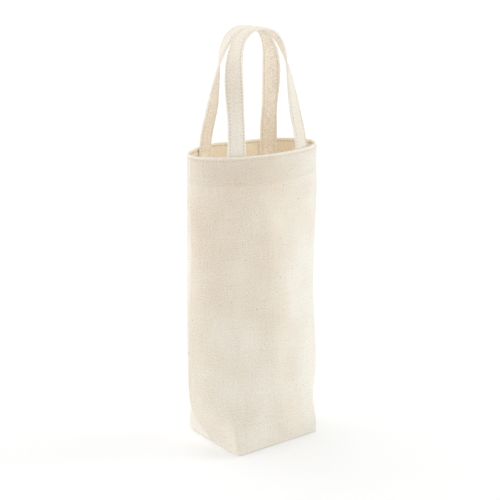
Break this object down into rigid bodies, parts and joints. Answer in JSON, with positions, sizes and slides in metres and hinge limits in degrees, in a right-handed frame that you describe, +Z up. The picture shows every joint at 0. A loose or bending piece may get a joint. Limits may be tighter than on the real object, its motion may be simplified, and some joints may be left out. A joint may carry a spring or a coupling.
{
  "type": "bottle carrier bag",
  "caption": "Tall soft canvas bottle bag with a boxed base, an open hemmed mouth and a pair of self-fabric strap handles.",
  "frame": {"origin": "centre of the base on the floor", "axes": "+Z up, +X to the right and +Y to the back along the two sides of the boxed base; the front handle is at -Y"},
  "size_m": [0.136, 0.08, 0.3752],
  "materials": {
    "body_canvas": "natural unbleached cotton canvas, plain weave with small brown seed flecks",
    "handle_canvas": "the same canvas folded in four and edge-stitched",
    "sewing_thread": "spun polyester thread in the canvas colour",
    "overlock_thread": "pale fluffy overlocking thread"
  },
  "bodies": {
    "bag": {"front_panel": "body_canvas", "back_panel": "body_canvas", "front_handle_ends": "handle_canvas", "back_handle_ends": "handle_canvas", "rim_stitching": "sewing_thread", "hem_stitching": "sewing_thread", "left_side_stitching": "sewing_thread", "right_side_stitching": "sewing_thread", "bottom_stitching": "sewing_thread", "left_corner_stitching": "sewing_thread", "right_corner_stitching": "sewing_thread", "left_side_overlock": "overlock_thread", "right_side_overlock": "overlock_thread", "bottom_overlock": "overlock_thread", "left_corner_overlock": "overlock_thread", "right_corner_overlock": "overlock_thread", "front_end_stitching": "sewing_thread", "back_end_stitching": "sewing_thread"},
    "front_handle": {"front_handle": "handle_canvas", "front_handle_stitching": "sewing_thread"},
    "back_handle": {"back_handle": "handle_canvas", "back_handle_stitching": "sewing_thread"}
  },
  "joints": [
    {"name": "front_handle_swing", "type": "hinge", "parent": "bag", "child": "front_handle", "pos_m": [-0.00096, -0.02758, 0.27809], "axis": [0.9994, -0.0349, 0], "range_deg": [0, 150]},
    {"name": "back_handle_swing", "type": "hinge", "parent": "bag", "child": "back_handle", "pos_m": [0.00096, 0.02758, 0.27809], "axis": [-0.9994, 0.0349, 0], "range_deg": [0, 150]}
  ]
}
